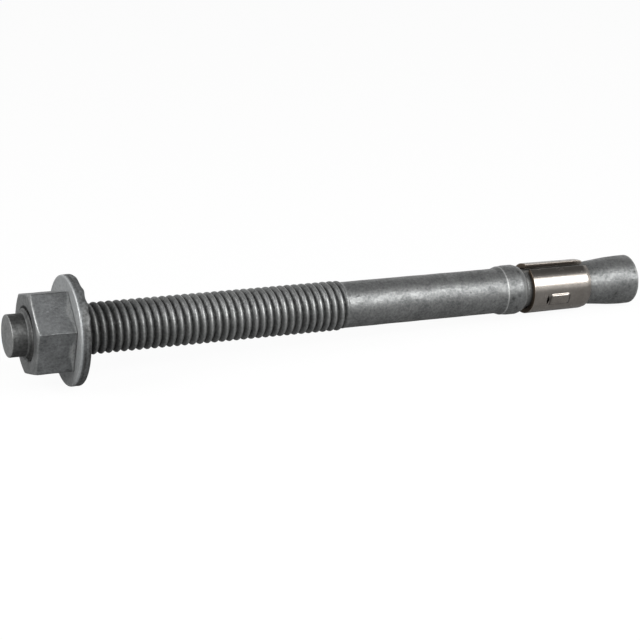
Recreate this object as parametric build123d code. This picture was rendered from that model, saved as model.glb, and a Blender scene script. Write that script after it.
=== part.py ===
"""Half-inch wedge anchor lying at rest: threaded stud with a cone end, hex nut, flat washer, split clip.

Every piece is drawn along X with 0 at the nut's bearing face and the cone at the far end of +X.
An angle round the axis is 0 at the front (-Y) and grows towards the top (+Z). Sizes are in mm.
At the end, all pieces are tilted together so that the washer's rim and the cone's rim touch Z = 0.
"""

from build123d import *
import os
from math import atan2, ceil, cos, degrees, pi, radians, sin, tan

os.makedirs("parts", exist_ok=True)

# ---- Driving dimensions ----------------------------------------------------------------------
thread_diameter = 12.65  # over the crests, nominal 1/2 in
thread_pitch = 25.4 / 13  # 13 threads to the inch
thread_depth = 1.05  # crest to root, filled a little by the zinc
spans_per_turn = 13  # spline spans in one turn of a thread edge

stud_length = 172.5  # overall, hammer end to cone end
hammer_end_diameter = 10.35  # unthreaded point that takes the hammer blows
hammer_end_length = 3.8  # up to the foot of the first thread
hammer_end_edge = 0.25
nut_set_back = 4.6  # hammer end stands this far out of the nut
thread_end = 73.1  # where the last thread meets the shank
shank_diameter = 11.75
collar_start = 116.5
collar_ramp_length = 1.9  # from the shank up to the collar's ridge
collar_ridge_diameter = 12.8
collar_diameter = 13.05
collar_length = 8.2
collar_shoulder = 1.1  # broken edge that faces the clip
neck_diameter = 10.3
cone_rise_length = 1.9  # steep foot of the cone, next to the neck
cone_foot_diameter = 11.55
cone_middle_diameter = 12.66
cone_diameter = 13.06
cone_taper_length = 9.8
cone_middle_share = 0.62  # of the taper's length, where it starts to flatten
cone_edge = 0.35

nut_across_flats = 19.05  # 3/4 in
nut_height = 9.6
nut_chamfer_angle = 20
nut_face_diameter = 19.2  # of the circle that trims the corners at the outer end
nut_countersink_diameter = 13.9
nut_corner_angle = 15
nut_bore_clearance = 0.1  # radial, over the stud's crests; the nut's own fine thread is left out

washer_diameter = 27.0  # 1-1/16 in
washer_bore = 13.5  # 17/32 in
washer_thickness = 2.5
washer_edge = 0.6  # rolled rim on the side that the punch entered
washer_far_edge = 0.4  # broken rim on the other side, which the anchor rests on

clip_length = 17.5
clip_gap = 1.3  # between the collar and the clip
clip_clearance = 0.15  # radial, on the neck
clip_wall = 1.35
clip_thin_wall = 1.0  # at the cone end, where the clip has been rolled down
clip_thin_length = 2.6
clip_slot_angle = 75.5
clip_slot_width = 2.5
clip_to_cone = 0.2  # left between the clip and the foot of the cone
nib_spacing = 91  # angle from the slot to each raised nib
nib_from_end = 4.6  # end of the clip to the sheared edge of a nib
nib_length = 6.4
nib_ramp = 2.2
nib_width = 3.4
nib_height = 0.45
nib_slit = 0.7

# ---- Worked-out values -----------------------------------------------------------------------
crest_radius = thread_diameter / 2
root_radius = crest_radius - thread_depth
hammer_end_radius = hammer_end_diameter / 2
shank_radius = shank_diameter / 2
collar_radius = collar_diameter / 2
neck_radius = neck_diameter / 2
cone_radius = cone_diameter / 2
washer_radius = washer_diameter / 2
washer_rim_end = washer_thickness - washer_far_edge

stud_start = -nut_height - nut_set_back
stud_end = stud_start + stud_length
thread_start = stud_start + hammer_end_length
collar_end = collar_start + collar_length
clip_start = collar_end + clip_gap
clip_end = clip_start + clip_length
neck_end = clip_end + clip_to_cone

clip_inner = neck_radius + clip_clearance
clip_outer = clip_inner + clip_wall


# ---- Helpers ---------------------------------------------------------------------------------
def outline(*points):
    """A closed face in the X-radius half plane through straight sides, given as (x, radius) pairs."""
    return make_face(Polyline(*[(x, 0, radius) for x, radius in points], close=True))


def turned(face, arc=360):
    """A face of the X-radius half plane turned about the anchor's axis."""
    return revolve(face, Axis.X, arc)


def at_angle(shape, angle):
    """A shape drawn on the top half plane, turned to an angle counted from the front."""
    return Rot(X=90 - angle) * shape


# ---- Helical thread --------------------------------------------------------------------------
def helix_turn(radius, start, turn):
    """One turn of a right-hand helix about X, as a spline with few spans so that it stays light."""
    shares = [i / spans_per_turn for i in range(spans_per_turn + 1)]
    points = [
        Vector(start + thread_pitch * (turn + t), radius * cos(2 * pi * t), radius * sin(2 * pi * t))
        for t in shares
    ]
    along = Vector(thread_pitch, 0, 2 * pi * radius)
    return Edge.make_spline(points, tangents=[along, along], parameters=shares, scale=False)


def thread_step(root, crest, start, turn):
    """The flat half-plane face that shows where a turn of the thread begins."""
    x = start + turn * thread_pitch
    tip = x + thread_pitch / 2
    corners = [(x, 0, 0), (x, root, 0), (tip, crest, 0), (x + thread_pitch, root, 0)]
    return make_face(Polyline(*corners, (x + thread_pitch, 0, 0), close=True)).face()


def thread_ramp(root, start, turn):
    """The helical floor between the axis and one turn of the root."""
    x = start + turn * thread_pitch
    core = Edge.make_line((x, 0, 0), (x + thread_pitch, 0, 0))
    return Face.make_surface_from_curves(core, helix_turn(root, start, turn))


def threaded_core(root, crest, start, end):
    """A solid V-thread that covers start to end: two ruled flanks a turn, sewn to a ramp at each end.

    It begins one and a half pitches early, so that a crest line crosses the start at the back (+Y).
    """
    first = start - thread_pitch - thread_pitch / 2
    turns = ceil((end - first) / thread_pitch) + 1
    faces = []
    for turn in range(turns):
        tip = helix_turn(crest, first + thread_pitch / 2, turn)
        for foot in (helix_turn(root, first, turn), helix_turn(root, first, turn + 1)):
            faces.append(Face.make_surface_from_curves(foot, tip))
    for turn in (0, turns):
        faces += [thread_step(root, crest, first, turn), thread_ramp(root, first, turn)]
    return Solid(Shell(Face.sew_faces(faces)[0]))


# ---- Stud ------------------------------------------------------------------------------------
def thread_envelope():
    """The turned blank that the thread is cut to, with a 45 degree lead at both ends."""
    over = crest_radius + thread_depth / 2
    lead_in = over - hammer_end_radius
    lead_out = over - shank_radius
    return turned(
        outline(
            (thread_start, 0),
            (thread_start, hammer_end_radius),
            (thread_start + lead_in, over),
            (thread_end - lead_out, over),
            (thread_end, shank_radius),
            (thread_end, 0),
        )
    )


def hammer_end():
    """The plain point under the nut, with a broken edge."""
    return turned(
        outline(
            (stud_start, 0),
            (stud_start, hammer_end_radius - hammer_end_edge),
            (stud_start + hammer_end_edge, hammer_end_radius),
            (thread_start, hammer_end_radius),
            (thread_start, 0),
        )
    )


def shank_and_collar():
    """The plain shank and the collar that pushes the clip into the hole."""
    ridge = collar_start + collar_ramp_length
    return turned(
        outline(
            (thread_end, 0),
            (thread_end, shank_radius),
            (collar_start, shank_radius),
            (ridge, collar_ridge_diameter / 2),
            (collar_end - collar_shoulder, collar_radius),
            (collar_end, collar_radius - collar_shoulder),
            (collar_end, 0),
        )
    )


def neck_and_cone():
    """The neck that carries the clip and the cone that spreads it, with a land at the far end."""
    foot = neck_end + cone_rise_length
    middle = foot + cone_taper_length * cone_middle_share
    return turned(
        outline(
            (collar_end, 0),
            (collar_end, neck_radius),
            (neck_end, neck_radius),
            (foot, cone_foot_diameter / 2),
            (middle, cone_middle_diameter / 2),
            (foot + cone_taper_length, cone_radius),
            (stud_end - cone_edge, cone_radius),
            (stud_end, cone_radius - cone_edge),
            (stud_end, 0),
        )
    )


def anchor_stud():
    """The one-piece stud: hammer end, helical thread, shank, collar, neck and cone."""
    thread = threaded_core(root_radius, crest_radius, thread_start, thread_end)
    return hammer_end() + (thread & thread_envelope()) + shank_and_collar() + neck_and_cone()


# ---- Nut and washer --------------------------------------------------------------------------
def nut_mouth():
    """The countersink that is cut into the nut's bearing face."""
    wide, narrow = nut_countersink_diameter / 2, crest_radius
    return turned(outline((0, 0), (0, wide), (narrow - wide, narrow), (narrow - wide, 0)))


def hex_nut():
    """Hex nut with its outer corners chamfered, both ends countersunk and a bore that clears the stud."""
    corner, face = nut_across_flats / 2 / cos(radians(30)), nut_face_diameter / 2
    block = extrude(Plane.YZ.offset(-nut_height) * RegularPolygon(corner, 6), nut_height)
    widest = face + nut_height / 2 / tan(radians(nut_chamfer_angle))
    barrel = turned(
        outline((-nut_height, 0), (-nut_height, face), (-nut_height / 2, widest), (0, widest), (0, 0))
    )
    bore = Rot(Y=90) * Cylinder(crest_radius + nut_bore_clearance, 3 * nut_height)
    outer_mouth = Pos(X=-nut_height) * mirror(nut_mouth(), Plane.YZ)
    return (Rot(X=-nut_corner_angle) * block & barrel) - bore - nut_mouth() - outer_mouth


def flat_washer():
    """Punched round washer, seated on the nut with its rolled rim towards the nut."""
    return turned(
        outline(
            (0, washer_bore / 2),
            (0, washer_radius - washer_edge),
            (washer_edge, washer_radius),
            (washer_rim_end, washer_radius),
            (washer_thickness, washer_radius - washer_far_edge),
            (washer_thickness, washer_bore / 2),
        )
    )


# ---- Expansion clip --------------------------------------------------------------------------
def nib():
    """A raised tongue on the top of the clip, sheared at the collar end and sloping to flush."""
    start = clip_start + nib_from_end
    end = start + nib_length
    height = clip_outer + nib_height
    arc = degrees(nib_width / clip_outer)
    tongue = outline(
        (start, clip_inner + clip_wall / 2),
        (start, height),
        (end - nib_ramp, height),
        (end, clip_outer - nib_height / 2),
        (end, clip_inner + clip_wall / 2),
    )
    return Rot(X=-arc / 2) * turned(tongue, arc)


def nib_opening():
    """The slit that the shears leave through the clip at the raised end of a nib."""
    end = clip_start + nib_from_end
    window = Box(nib_slit, nib_width, 2 * clip_wall, align=(Align.MAX, Align.CENTER, Align.CENTER))
    return Pos(end, 0, clip_outer) * window


def expansion_clip():
    """Spring sleeve rolled round the neck from one sheet, open along a slot, with two raised nibs."""
    thin = clip_inner + clip_thin_wall
    sheet = outline(
        (clip_start, clip_inner),
        (clip_start, clip_outer),
        (clip_end - clip_thin_length, clip_outer),
        (clip_end, thin),
        (clip_end, clip_inner),
    )
    slot = degrees(clip_slot_width / clip_outer)
    sleeve = at_angle(Rot(X=slot / 2) * turned(sheet, 360 - slot), clip_slot_angle)
    for side in (-nib_spacing, nib_spacing):
        sleeve += at_angle(nib(), clip_slot_angle + side)
        sleeve -= at_angle(nib_opening(), clip_slot_angle + side)
    return sleeve


# ---- Rest position ---------------------------------------------------------------------------
def at_rest():
    """The place in which the rims of the washer and of the cone both touch Z = 0."""
    cone_x = stud_end - cone_edge
    tilt = atan2(washer_radius - cone_radius, cone_x - washer_rim_end)
    height = washer_radius * cos(tilt) + washer_rim_end * sin(tilt)
    low_x = stud_start * cos(tilt) - hammer_end_radius * sin(tilt)
    high_x = stud_end * cos(tilt) + cone_radius * sin(tilt)
    return Pos(-(low_x + high_x) / 2, 0, height) * Rot(Y=degrees(tilt))


rest = at_rest()
for name, piece in {
    "anchor_stud": anchor_stud(),
    "hex_nut": hex_nut(),
    "flat_washer": flat_washer(),
    "expansion_clip": expansion_clip(),
}.items():
    export_step(rest * piece, f"parts/{name}.step")
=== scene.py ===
"""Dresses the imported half-inch wedge anchor: galvanised stud, nut and washer, and a bright split clip.

Every piece is drawn in millimetres about the anchor's own axis: x runs from the nut's bearing face towards
the cone, and an angle round the axis is 0 at the front and grows towards the top. `Rest` then puts it into
the row frame, in metres, where the CAD solids lie.
"""

from __future__ import annotations

import logging
import math
from dataclasses import dataclass
from enum import Enum

import bpy
import numpy as np
from mathutils import Euler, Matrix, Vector


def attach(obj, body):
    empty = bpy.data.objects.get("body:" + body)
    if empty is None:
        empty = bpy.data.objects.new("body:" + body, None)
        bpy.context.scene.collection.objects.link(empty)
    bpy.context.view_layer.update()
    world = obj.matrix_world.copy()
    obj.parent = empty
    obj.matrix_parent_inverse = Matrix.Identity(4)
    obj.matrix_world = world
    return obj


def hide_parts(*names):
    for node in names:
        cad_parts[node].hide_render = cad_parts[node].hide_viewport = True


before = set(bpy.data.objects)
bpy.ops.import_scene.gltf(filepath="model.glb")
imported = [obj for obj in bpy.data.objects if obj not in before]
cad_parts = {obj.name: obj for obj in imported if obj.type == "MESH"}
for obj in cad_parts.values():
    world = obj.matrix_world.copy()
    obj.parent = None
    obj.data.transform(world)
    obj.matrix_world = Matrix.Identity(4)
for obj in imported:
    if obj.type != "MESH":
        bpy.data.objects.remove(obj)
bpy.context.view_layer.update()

MM_IN_METRE = 1000
HARD_EDGE = math.radians(42)

# Numbers kept at each point of a mesh, from 0 to 1, which the finishes read: the first is dirt together with
# painted shade, the second is painted highlight, painted reflection and painted light, and the third is the
# brown of sheared edges.
GRIME_AND_SHADE = "grime_and_shade"
PAINTED_SHEEN = "painted_sheen"
CUT = "cut"

# Places of the colour sockets on a Mix node, which has several of each name.
MIX_SHARE = 0
MIX_FIRST = 6
MIX_SECOND = 7
MIX_RESULT = 2

WHITE = (1.0, 1.0, 1.0, 1.0)

Array = np.ndarray
Corners = list[tuple[float, float, float]]
Colour = tuple[float, float, float]
Span = tuple[float, float]
Rows = tuple[float, ...]
Nodes = bpy.types.Nodes
Links = bpy.types.NodeLinks
Socket = bpy.types.NodeSocket

log = logging.getLogger("wedge_anchor")


# ---- Mesh tools ------------------------------------------------------------------------------
@dataclass(frozen=True)
class Rest:
    """The lying position: the anchor is tilted until the rims of washer and cone touch the floor."""

    tilt: float = math.radians(2.56073)
    back: float = -72.00832
    lift: float = 13.58034

    def place(self, points: Array) -> Array:
        """Turns points about Y by the tilt, moves them, and changes millimetres to metres.

        Args:
            points: N rows of x, y, z in the anchor's own frame.

        Returns:
            The same points in the row frame.
        """
        c, s = math.cos(self.tilt), math.sin(self.tilt)
        x, y, z = points[:, 0], points[:, 1], points[:, 2]
        return np.stack([x * c + z * s + self.back, y, z * c - x * s + self.lift], axis=1) / MM_IN_METRE


REST = Rest()


def smooth_step(low: float | Array, high: float | Array, value: Array) -> Array:
    """0 below low, 1 above high, and three t squared less two t cubed between them."""
    t = np.clip((value - low) / (high - low), 0, 1)
    return t * t * (3 - 2 * t)


def bell(value: Array, middle: float, width: float) -> Array:
    """1 at the middle, falling on both sides as exp(-(distance / width) squared)."""
    return np.exp(-(((value - middle) / width) ** 2))


def soft_least(a: Array, b: Array, blend: float) -> Array:
    """The smaller of a and b, with the crease between them rounded over a width of blend."""
    h = np.clip(0.5 + 0.5 * (b - a) / blend, 0, 1)
    return b + (a - b) * h - blend * h * (1 - h)


def edge_drop(distance: Array, size: float) -> Array:
    """How far a surface draws in near its edge: a quarter circle of a size, by the distance to the edge."""
    near = np.clip(distance / size, 0, 1)
    return size * (1 - np.sqrt(np.clip(1 - (1 - near) ** 2, 0, 1)))


def angle_gap(a: Array, b: Array | float) -> Array:
    """The turn from angle b to angles a, in degrees, from -180 to 180."""
    return (a - b + 180) % 360 - 180


def round_axis(x: Array, radius: Array, angle: Array) -> Array:
    """Points at a distance along the axis, a radius and an angle: (x, -r cos a, r sin a).

    Args:
        x: Place along the axis, in mm.
        radius: Distance from the axis, in mm.
        angle: Angle round the axis, in degrees, 0 at the front and growing towards the top.

    Returns:
        An array with the broadcast shape of the three and one more axis for x, y, z.
    """
    a = np.radians(angle)
    return np.stack(np.broadcast_arrays(x, -radius * np.cos(a), radius * np.sin(a)), axis=-1)


def rounded_profile(corners: Corners, closed: bool, steps: int) -> Array:
    """A polyline whose corners are rounded off by arcs.

    Each corner with a round of r starts its arc r / tan(half the corner's angle) before the corner, or
    just short of half the side where that is nearer. The arc is the quadratic curve through that point,
    the corner as control point, and the far point.

    Args:
        corners: (x, radius, round) of each corner.
        closed: Whether the last corner joins the first.
        steps: Spans in each arc.

    Returns:
        Rows of x, radius.
    """
    most_of_side = 0.49
    points = np.array([(x, r) for x, r, _ in corners], float)
    rows: list[Array] = []
    count = len(corners)
    share = np.linspace(0, 1, steps + 1)[:, None]
    for i, (_, _, size) in enumerate(corners):
        if size == 0 or (not closed and i in (0, count - 1)):
            rows.append(points[i : i + 1])
            continue
        before = points[i - 1] - points[i]
        after = points[(i + 1) % count] - points[i]
        reach_before, reach_after = np.linalg.norm(before), np.linalg.norm(after)
        before, after = before / reach_before, after / reach_after
        half = math.acos(float(np.clip(before @ after, -1, 1))) / 2
        cut = min(size / math.tan(half), most_of_side * reach_before, most_of_side * reach_after)
        first, last = points[i] + before * cut, points[i] + after * cut
        arc = (1 - share) ** 2 * first + 2 * share * (1 - share) * points[i] + share**2 * last
        rows.append(arc)
    return np.concatenate(rows)


def refined(rows: Array, widest: float, closed: bool = False) -> Array:
    """A profile with points added so that no span is wider than a limit.

    Args:
        rows: Rows of x, radius.
        widest: The longest span allowed, in mm.
        closed: Whether the last row joins the first.

    Returns:
        The longer array of rows, each span cut into equal shares.
    """
    ends = np.concatenate([rows[1:], rows[:1]]) if closed else rows[1:]
    starts = rows if closed else rows[:-1]
    lengths = np.linalg.norm(ends - starts, axis=1)
    counts = np.maximum(1, np.ceil(lengths / widest).astype(int))
    index = np.repeat(np.arange(len(starts)), counts)
    first = np.repeat(np.cumsum(counts) - counts, counts)
    share = ((np.arange(counts.sum()) - first) / np.repeat(counts, counts))[:, None]
    made = starts[index] * (1 - share) + ends[index] * share
    return made if closed else np.concatenate([made, rows[-1:]])


def new_piece(name: str, points: Array, faces: Array, values: dict[str, Array]) -> bpy.types.Object:
    """Makes a mesh object at the origin from points in the anchor's frame.

    Args:
        name: The object's name.
        points: N rows of x, y, z in mm.
        faces: Rows of four corner indices, a triangle repeating its last corner.
        values: Numbers per point, stored as mesh attributes for the finishes.

    Returns:
        The object, shaded smooth with its hard edges marked.
    """
    mesh = bpy.data.meshes.new(name)
    flat = faces[:, 2] == faces[:, 3]
    corners = np.where(flat, 3, 4)
    keep = np.ones_like(faces, bool)
    keep[flat, 3] = False
    placed = REST.place(points)
    mesh.vertices.add(len(placed))
    mesh.vertices.foreach_set("co", placed.astype(np.float32).ravel())
    mesh.loops.add(int(corners.sum()))
    mesh.loops.foreach_set("vertex_index", faces[keep].astype(np.int32))
    mesh.polygons.add(len(faces))
    mesh.polygons.foreach_set("loop_start", (np.cumsum(corners) - corners).astype(np.int32))
    mesh.update(calc_edges=True)
    mesh.validate()
    mesh.polygons.foreach_set("use_smooth", np.ones(len(mesh.polygons), bool))
    mesh.set_sharp_from_angle(angle=HARD_EDGE)
    for key, numbers in values.items():
        attribute = mesh.attributes.new(key, "FLOAT", "POINT")
        attribute.data.foreach_set("value", numbers.astype(np.float32).ravel())
    made = bpy.data.objects.new(name, mesh)
    bpy.context.scene.collection.objects.link(made)
    return made


def ring_faces(rows: int, columns: int, closed: bool) -> Array:
    """Quads of a grid that closes round the axis, and also from last row to first where closed is true.

    Args:
        rows: Rows of the grid, along the profile.
        columns: Columns, round the axis.
        closed: Whether the profile is a loop.

    Returns:
        Rows of four corner indices.
    """
    i = np.arange(rows if closed else rows - 1)[:, None]
    j = np.arange(columns)[None, :]
    below, above = i * columns, (i + 1) % rows * columns
    right = (j + 1) % columns
    quad = np.broadcast_arrays(below + j, below + right, above + right, above + j)
    return np.stack(quad, axis=-1).reshape(-1, 4)


def pole_faces(pole: int, ring: Array) -> Array:
    """Triangles that join one point to a ring, each written as a quad with its last corner twice.

    Args:
        pole: Index of the point.
        ring: Indices of the ring's points, in order.

    Returns:
        Rows of four corner indices.
    """
    following = np.roll(ring, -1)
    lid = np.full_like(ring, pole)
    return np.stack([ring, following, lid, lid], axis=1)


def sheet_faces(cells: Array) -> Array:
    """Faces of a closed plate with two skins: the kept cells above and below, and walls round their edges.

    Point (i, j) of the upper skin has index i * columns + j, and the lower skin follows it. A wall stands
    on each grid edge that has a kept cell on one side only.

    Args:
        cells: True for each kept cell, one less than the points both ways.

    Returns:
        Rows of four corner indices, facing away from the sheet's middle.
    """
    rows, columns = cells.shape[0] + 1, cells.shape[1] + 1
    number = np.arange(rows * columns).reshape(rows, columns)
    a, b, c, d = number[:-1, :-1], number[:-1, 1:], number[1:, 1:], number[1:, :-1]
    upper = np.stack([a, b, c, d], axis=-1)[cells]
    under = rows * columns
    faces = [upper, upper[:, ::-1] + under]
    kept = np.pad(cells, 1)
    inside = kept[1:-1, 1:-1]
    for side, start, end in (
        (kept[:-2, 1:-1], a, b),
        (kept[1:-1, 2:], b, c),
        (kept[2:, 1:-1], c, d),
        (kept[1:-1, :-2], d, a),
    ):
        open_edge = inside & ~side
        s, e = start[open_edge], end[open_edge]
        faces.append(np.stack([e, s, s + under, e + under], axis=-1))
    return np.concatenate(faces)


@dataclass(frozen=True)
class Waviness:
    """A slow, seeded unevenness: a sum of sines along the axis and round it."""

    seed: int
    height: float
    longest: float
    waves: int = 7
    spread: Span = (0.3, 2.2)
    most_turns: int = 4
    phases: Span = (0.0, 6.283)

    def at(self, x: Array, angle: Array) -> Array:
        """Height at each place: the mean of sines of (k x + whole turns of the angle + phase).

        Args:
            x: Place along the axis, in mm.
            angle: Angle round the axis, in degrees.

        Returns:
            The height, above or below nought, in mm.
        """
        draw = np.random.default_rng(self.seed)
        total = np.zeros(np.broadcast(x, angle).shape)
        for _ in range(self.waves):
            along = math.tau / self.longest * draw.uniform(*self.spread)
            turns = int(draw.integers(-self.most_turns, self.most_turns + 1))
            total = total + np.sin(along * x + turns * np.radians(angle) + draw.uniform(*self.phases))
        return self.height * total / self.waves


# ---- Node wiring -----------------------------------------------------------------------------
class Operation(Enum):
    """The sums that the finishes do on sockets."""

    ADD = "ADD"
    SUBTRACT = "SUBTRACT"
    MULTIPLY = "MULTIPLY"
    GREATEST = "MAXIMUM"


@dataclass(frozen=True)
class Octaves:
    """How a noise is layered: how many octaves it has, and the share kept by each finer one."""

    count: float
    kept: float


@dataclass(frozen=True)
class Wiring:
    """A node tree that is being wired up."""

    nodes: Nodes
    links: Links

    @classmethod
    def of(cls, tree: bpy.types.NodeTree) -> Wiring:
        """The wiring of a tree."""
        return cls(tree.nodes, tree.links)

    def feed(self, slot: Socket, value: Socket | Colour | float) -> None:
        """Links a socket to a slot, or sets a plain number or colour on it.

        Args:
            slot: The input.
            value: What it takes.
        """
        if isinstance(value, Socket):
            self.links.new(value, slot)
        elif isinstance(value, tuple):
            slot.default_value = (*value, 1)
        else:
            slot.default_value = value

    def attribute(self, name: str) -> Socket:
        """The number that the mesh keeps at each point under a name.

        Args:
            name: The attribute's name.

        Returns:
            The number's socket.
        """
        made = self.nodes.new("ShaderNodeAttribute")
        made.attribute_name = name
        return made.outputs["Fac"]

    def noise(self, place: Socket, scale: Socket, octaves: Octaves) -> Socket:
        """The factor of a noise texture read at a place.

        Args:
            place: The coordinates.
            scale: Cells to the metre.
            octaves: How the noise is layered.

        Returns:
            The factor socket, about 0.5 on average.
        """
        made = self.nodes.new("ShaderNodeTexNoise")
        made.inputs["Detail"].default_value = octaves.count
        made.inputs["Roughness"].default_value = octaves.kept
        self.links.new(place, made.inputs["Vector"])
        self.links.new(scale, made.inputs["Scale"])
        return made.outputs["Fac"]

    def remap(self, value: Socket, new: Span, old: Span = (0.0, 1.0)) -> Socket:
        """Maps a value from an old span to a new one, held at the ends.

        Args:
            value: The value.
            new: The span it is mapped to.
            old: The span it comes from.

        Returns:
            The mapped value.
        """
        made = self.nodes.new("ShaderNodeMapRange")
        for key, number in zip(("From Min", "From Max", "To Min", "To Max"), (*old, *new)):
            made.inputs[key].default_value = number
        self.links.new(value, made.inputs["Value"])
        return made.outputs["Result"]

    def compute(self, operation: Operation, a: Socket | float, b: Socket | float) -> Socket:
        """A Math node on two sockets or numbers.

        Args:
            operation: The sum to do.
            a: The first value.
            b: The second value.

        Returns:
            The result.
        """
        made = self.nodes.new("ShaderNodeMath")
        made.operation = operation.value
        self.feed(made.inputs[0], a)
        self.feed(made.inputs[1], b)
        return made.outputs[0]

    def add(self, a: Socket | float, b: Socket | float) -> Socket:
        """The sum of two values."""
        return self.compute(Operation.ADD, a, b)

    def multiply(self, a: Socket | float, b: Socket | float) -> Socket:
        """The product of two values."""
        return self.compute(Operation.MULTIPLY, a, b)

    def blend(self, share: Socket, a: Socket | Colour, b: Socket | Colour) -> Socket:
        """A colour that goes from a to b with share.

        Args:
            share: How far to go, from 0 to 1.
            a: The colour at 0.
            b: The colour at 1.

        Returns:
            The colour.
        """
        made = self.nodes.new("ShaderNodeMix")
        made.data_type = "RGBA"
        self.links.new(share, made.inputs[MIX_SHARE])
        self.feed(made.inputs[MIX_FIRST], a)
        self.feed(made.inputs[MIX_SECOND], b)
        return made.outputs[MIX_RESULT]

    def by_ray(self, seen: float, mirrored: Socket | float, other: float) -> Socket:
        """One value for rays from the camera or a transmission, one for reflections and one for the rest.

        It is other + direct * (seen - other) + glossy * (mirrored - other), as no ray is of two kinds.

        Args:
            seen: The value that the camera sees, also through glass.
            mirrored: The value that a reflection shows.
            other: The value for all other rays, which is what lights the scene.

        Returns:
            The value for the ray at hand.
        """
        path = self.nodes.new("ShaderNodeLightPath").outputs
        direct = self.compute(Operation.GREATEST, path["Is Camera Ray"], path["Is Transmission Ray"])
        step = self.compute(Operation.SUBTRACT, mirrored, other)
        shine = self.multiply(path["Is Glossy Ray"], step)
        return self.add(self.add(self.multiply(direct, seen - other), shine), other)


# ---- Shared effects --------------------------------------------------------------------------
class Group(Enum):
    """The shader node groups that more than one finish uses."""

    ZINC = "zinc_bloom"
    GRIT = "fine_grit"


def add_group(kind: Group, inputs: dict[str, float], outputs: tuple[str, ...]) -> bpy.types.ShaderNodeTree:
    """An empty shader node group with float inputs and outputs.

    Args:
        kind: The group's name.
        inputs: Name and usual value of each input.
        outputs: Name of each output.

    Returns:
        The group, with its input and output nodes named "in" and "out".
    """
    tree = bpy.data.node_groups.new(kind.value, "ShaderNodeTree")
    for name, value in inputs.items():
        socket = tree.interface.new_socket(name, in_out="INPUT", socket_type="NodeSocketFloat")
        socket.default_value = value
    for name in outputs:
        tree.interface.new_socket(name, in_out="OUTPUT", socket_type="NodeSocketFloat")
    tree.nodes.new("NodeGroupInput").name = "in"
    tree.nodes.new("NodeGroupOutput").name = "out"
    return tree


@dataclass(frozen=True)
class ZincBloom:
    """The mottled bloom of a hot-dipped zinc coat: cloudy patches, small crystals and dark specks."""

    patch_scale: float = 260.0
    crystal_scale: float = 1500.0
    speck_scale: float = 700.0
    patches: Octaves = Octaves(5, 0.62)
    crystals: Octaves = Octaves(3, 0.6)
    specks: Octaves = Octaves(2, 0.5)
    patch_share: float = 0.5
    tone_span: Span = (0.34, 0.66)
    speck_span: Span = (0.66, 0.76)

    def build(self) -> None:
        """Makes the group: a tone from patches and crystals, the dark specks, and the tone as a height."""
        usual = {"Patch": self.patch_scale, "Crystal": self.crystal_scale, "Speck": self.speck_scale}
        tree = add_group(Group.ZINC, usual, ("Tone", "Dark", "Height"))
        wiring = Wiring.of(tree)
        place = tree.nodes.new("ShaderNodeTexCoord").outputs["Object"]
        scales, leave = tree.nodes["in"].outputs, tree.nodes["out"].inputs
        patch = wiring.noise(place, scales["Patch"], self.patches)
        crystal = wiring.noise(place, scales["Crystal"], self.crystals)
        speck = wiring.noise(place, scales["Speck"], self.specks)
        tone = wiring.add(
            wiring.multiply(patch, self.patch_share), wiring.multiply(crystal, 1 - self.patch_share)
        )
        tree.links.new(wiring.remap(tone, (0, 1), self.tone_span), leave["Tone"])
        tree.links.new(wiring.remap(speck, (0, 1), self.speck_span), leave["Dark"])
        tree.links.new(tone, leave["Height"])


@dataclass(frozen=True)
class FineGrit:
    """A fine grit with sparse pits, for the small unevenness of any bare metal."""

    grain_scale: float = 2600.0
    pit_scale: float = 900.0
    grains: Octaves = Octaves(3, 0.55)
    pits: Octaves = Octaves(2, 0.5)
    pit_span: Span = (0.62, 0.74)

    def build(self) -> None:
        """Makes the group: a height, which is the grain less the pits."""
        tree = add_group(Group.GRIT, {"Grain": self.grain_scale, "Pit": self.pit_scale}, ("Height",))
        wiring = Wiring.of(tree)
        place = tree.nodes.new("ShaderNodeTexCoord").outputs["Object"]
        scales, leave = tree.nodes["in"].outputs, tree.nodes["out"].inputs
        grain = wiring.noise(place, scales["Grain"], self.grains)
        hole = wiring.remap(wiring.noise(place, scales["Pit"], self.pits), (0, 1), self.pit_span)
        tree.links.new(wiring.compute(Operation.SUBTRACT, grain, hole), leave["Height"])


# ---- Finishes --------------------------------------------------------------------------------
@dataclass(frozen=True)
class Finish:
    """What every finish has: its name, two colours that its tone goes between, and its gloss.

    Roughness is given for the darkest and the lightest tone. Scales are in cells to the metre, and depth
    is the height of the relief, in metres, of which the bump's strength is the share that shows.
    """

    name: str
    dark: Colour
    light: Colour
    metallic: float
    roughness: Span
    bump: float

    def begin(self) -> tuple[bpy.types.Material, bpy.types.Node]:
        """A material and its Principled shader, with the plain numbers set on the shader's own sockets.

        Returns:
            The material and the shader.
        """
        material = bpy.data.materials.new(self.name)
        material.use_nodes = True
        shader = material.node_tree.nodes["Principled BSDF"]
        shader.inputs["Metallic"].default_value = self.metallic
        return material, shader

    def place_group(self, wiring: Wiring, kind: Group, **values: float) -> bpy.types.Node:
        """A node of a shared group, with this finish's own values.

        Args:
            wiring: The material's wiring.
            kind: The group.
            values: A value for each of the group's inputs, by name.

        Returns:
            The node.
        """
        made = wiring.nodes.new("ShaderNodeGroup")
        made.node_tree = bpy.data.node_groups[kind.value]
        for key, value in values.items():
            made.inputs[key].default_value = value
        return made

    def add_bump(self, wiring: Wiring, height: Socket, depth: float, shader: bpy.types.Node) -> None:
        """Feeds a height to the shader's normal through a Bump node.

        Args:
            wiring: The material's wiring.
            height: The height socket, in shares of depth.
            depth: The height of one unit, in metres.
            shader: The Principled node.
        """
        bump = wiring.nodes.new("ShaderNodeBump")
        bump.inputs["Strength"].default_value = self.bump
        bump.inputs["Distance"].default_value = depth
        wiring.links.new(height, bump.inputs["Height"])
        wiring.links.new(bump.outputs["Normal"], shader.inputs["Normal"])


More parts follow.
